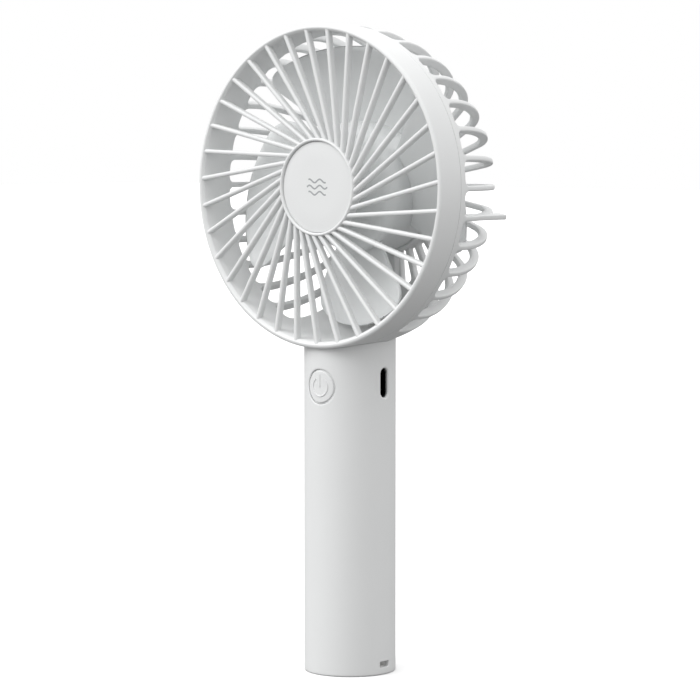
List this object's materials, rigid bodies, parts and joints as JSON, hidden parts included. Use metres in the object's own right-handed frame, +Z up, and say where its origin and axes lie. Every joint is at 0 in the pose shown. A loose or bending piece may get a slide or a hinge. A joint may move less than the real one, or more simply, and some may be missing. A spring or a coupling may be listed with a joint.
{
  "type": "handheld electric fan",
  "caption": "Handheld fan: caged round head with a slanted-rib grille on a straight battery handle with a push button, charging port and lanyard slot.",
  "frame": {"origin": "centre of the handle's flat base", "axes": "+Z up along the handle, the fan blows towards -Y, +X is the side with the charging port and the lanyard slot"},
  "size_m": [0.1006, 0.0405, 0.2037],
  "materials": {
    "front_grille": "white ABS, fine matte moulded finish",
    "hub_cap": "pale grey ABS, fine matte moulded finish",
    "rear_cage": "white ABS, fine matte moulded finish",
    "rear_hub_cover": "pale grey ABS",
    "neck_collar": "white ABS",
    "impeller": "pale grey ABS, smooth",
    "rotor_can": "drawn steel",
    "magnet": "sintered ferrite",
    "shaft": "ground steel",
    "clip": "sheet bronze",
    "bearing_housing": "turned brass",
    "bush": "sintered bronze",
    "stator_core": "stacked silicon steel",
    "stator_insulator": "moulded nylon",
    "windings": "enamelled copper wire",
    "circuit_board": "glass-epoxy with green solder mask",
    "screws": "zinc-plated steel",
    "motor_leads": "white PVC-covered wire",
    "handle_tube": "white ABS, fine matte moulded finish",
    "base_plug": "white ABS",
    "power_button": "white ABS with a raised power sign",
    "switch_body": "black nylon",
    "switch_plunger": "black nylon",
    "switch_dome": "spring steel",
    "board_components": "black moulded epoxy",
    "usb_shell": "nickel-plated steel",
    "usb_tongue": "black nylon",
    "battery_chassis": "grey ABS",
    "battery_cell": "shrink-wrapped steel can",
    "battery_tabs": "nickel strip",
    "battery_leads": "PVC-covered wire",
    "battery_foam": "closed-cell foam"
  },
  "bodies": {
    "root": {"front_grille": "front_grille", "hub_cap": "hub_cap", "rear_cage": "rear_cage", "rear_hub_cover": "rear_hub_cover", "neck_collar": "neck_collar", "bearing_housing": "bearing_housing", "front_bush": "bush", "rear_bush": "bush", "stator_core": "stator_core", "stator_insulator": "stator_insulator", "stator_windings": "windings", "motor_board": "circuit_board", "motor_screws": "screws", "motor_leads": "motor_leads", "handle_tube": "handle_tube", "base_plug": "base_plug", "neck_screws": "screws", "switch_body": "switch_body", "switch_dome": "switch_dome", "control_board": "circuit_board", "board_components": "board_components", "usb_shell": "usb_shell", "usb_tongue": "usb_tongue", "battery_chassis": "battery_chassis", "battery_cell": "battery_cell", "battery_tabs": "battery_tabs", "battery_leads": "battery_leads", "battery_foam": "battery_foam"},
    "rotor": {"impeller": "impeller", "rotor_can": "rotor_can", "magnet_ring": "magnet", "motor_shaft": "shaft", "shaft_clip": "clip"},
    "button": {"power_button": "power_button"},
    "plunger": {"switch_plunger": "switch_plunger"}
  },
  "joints": [
    {"name": "fan_spin", "type": "hinge", "parent": "root", "child": "rotor", "pos_m": [0, 0, 0.1534], "axis": [0, 1, 0], "continuous": true},
    {"name": "button_press", "type": "slide", "parent": "root", "child": "button", "axis": [0, 1, 0], "range_m": [0, 0.0004], "stiffness_N_per_m": 2500},
    {"name": "plunger_press", "type": "slide", "parent": "root", "child": "plunger", "axis": [0, 1, 0], "range_m": [0, 0.0004], "stiffness_N_per_m": 500}
  ],
  "couplings": [
    {"joint": "plunger_press", "follows": "button_press", "ratio": 1}
  ]
}
